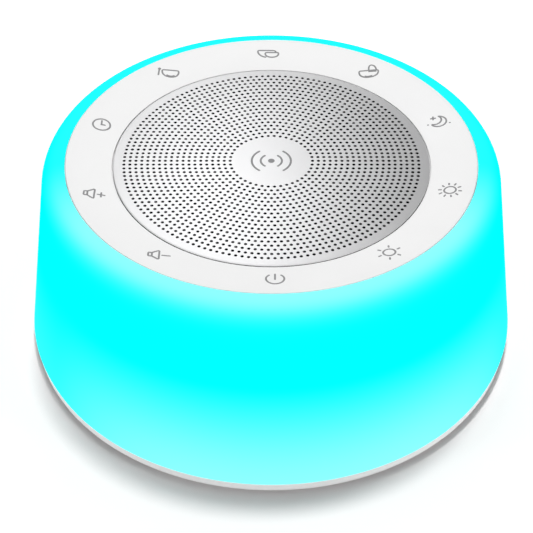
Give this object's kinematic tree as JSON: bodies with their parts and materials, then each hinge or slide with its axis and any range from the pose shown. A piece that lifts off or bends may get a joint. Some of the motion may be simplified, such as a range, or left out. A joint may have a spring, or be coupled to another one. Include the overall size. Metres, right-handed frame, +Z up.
{
  "type": "sound machine",
  "caption": "Round table-top sound machine: a lit, cone-shaped milky shell with a round shoulder, a sloping touch-control ring and a flat perforated speaker grille.",
  "frame": {"origin": "centre of the underside of the four feet, on the table", "axes": "+Z up along the body's axis, through the middle of the grille; the front, with the power icon, faces -Y and the power inlet faces +Y"},
  "size_m": [0.125, 0.1248, 0.0543],
  "materials": {
    "base_plastic": "fine matt white moulding",
    "rubber": "matt dark rubber",
    "screw_steel": "zinc-plated",
    "diffuser_plastic": "milky satin moulding lit cyan from inside",
    "ring_plastic": "satin white moulding",
    "grille_metal": "satin, perforated",
    "dust_cloth": "black woven",
    "frame_plastic": "white moulding",
    "foam": "open-cell foam",
    "circuit_board": "green solder mask",
    "white_board": "white solder mask",
    "copper": "bare copper",
    "chip_plastic": "moulded epoxy",
    "ribbon_plastic": "flat cable jacket",
    "basket_steel": "black-coated pressed steel",
    "pole_steel": "plated",
    "ferrite": "sintered",
    "cone_paper": "pressed paper pulp",
    "spider_cloth": "resin-dipped cloth",
    "lead_plastic": "flexible insulation",
    "lamp_resin": "clear resin lamp",
    "socket_steel": "drawn stainless"
  },
  "bodies": {
    "housing": {"base_pan": "base_plastic", "rubber_feet": "rubber", "base_screws": "screw_steel", "diffuser_shell": "diffuser_plastic", "touch_ring": "ring_plastic", "speaker_grille": "grille_metal", "grille_cloth": "dust_cloth", "inner_frame": "frame_plastic", "front_seal": "foam", "ring_screws": "screw_steel", "touch_board": "circuit_board", "touch_electrodes": "copper", "touch_board_parts": "chip_plastic", "touch_cable": "ribbon_plastic", "speaker_basket": "basket_steel", "top_plate": "pole_steel", "magnet": "ferrite", "pole_yoke": "pole_steel", "surround": "rubber", "spider": "spider_cloth", "speaker_gasket": "foam", "terminal_block": "chip_plastic", "speaker_screws": "screw_steel", "speaker_leads": "lead_plastic", "led_board": "white_board", "leds": "lamp_resin", "led_board_screws": "screw_steel", "led_leads": "lead_plastic", "main_board": "circuit_board", "main_board_parts": "chip_plastic", "main_board_screws": "screw_steel", "power_board": "circuit_board", "power_socket": "socket_steel", "power_board_screws": "screw_steel", "power_leads": "lead_plastic"},
    "speaker_cone": {"cone": "cone_paper", "dust_cap": "cone_paper", "voice_coil": "copper"}
  },
  "joints": [
    {"name": "cone_travel", "type": "slide", "parent": "housing", "child": "speaker_cone", "axis": [0, 0, 1], "range_m": [-0.0012, 0.0012], "stiffness_N_per_m": 1400, "deforming": ["surround", "spider"]}
  ]
}
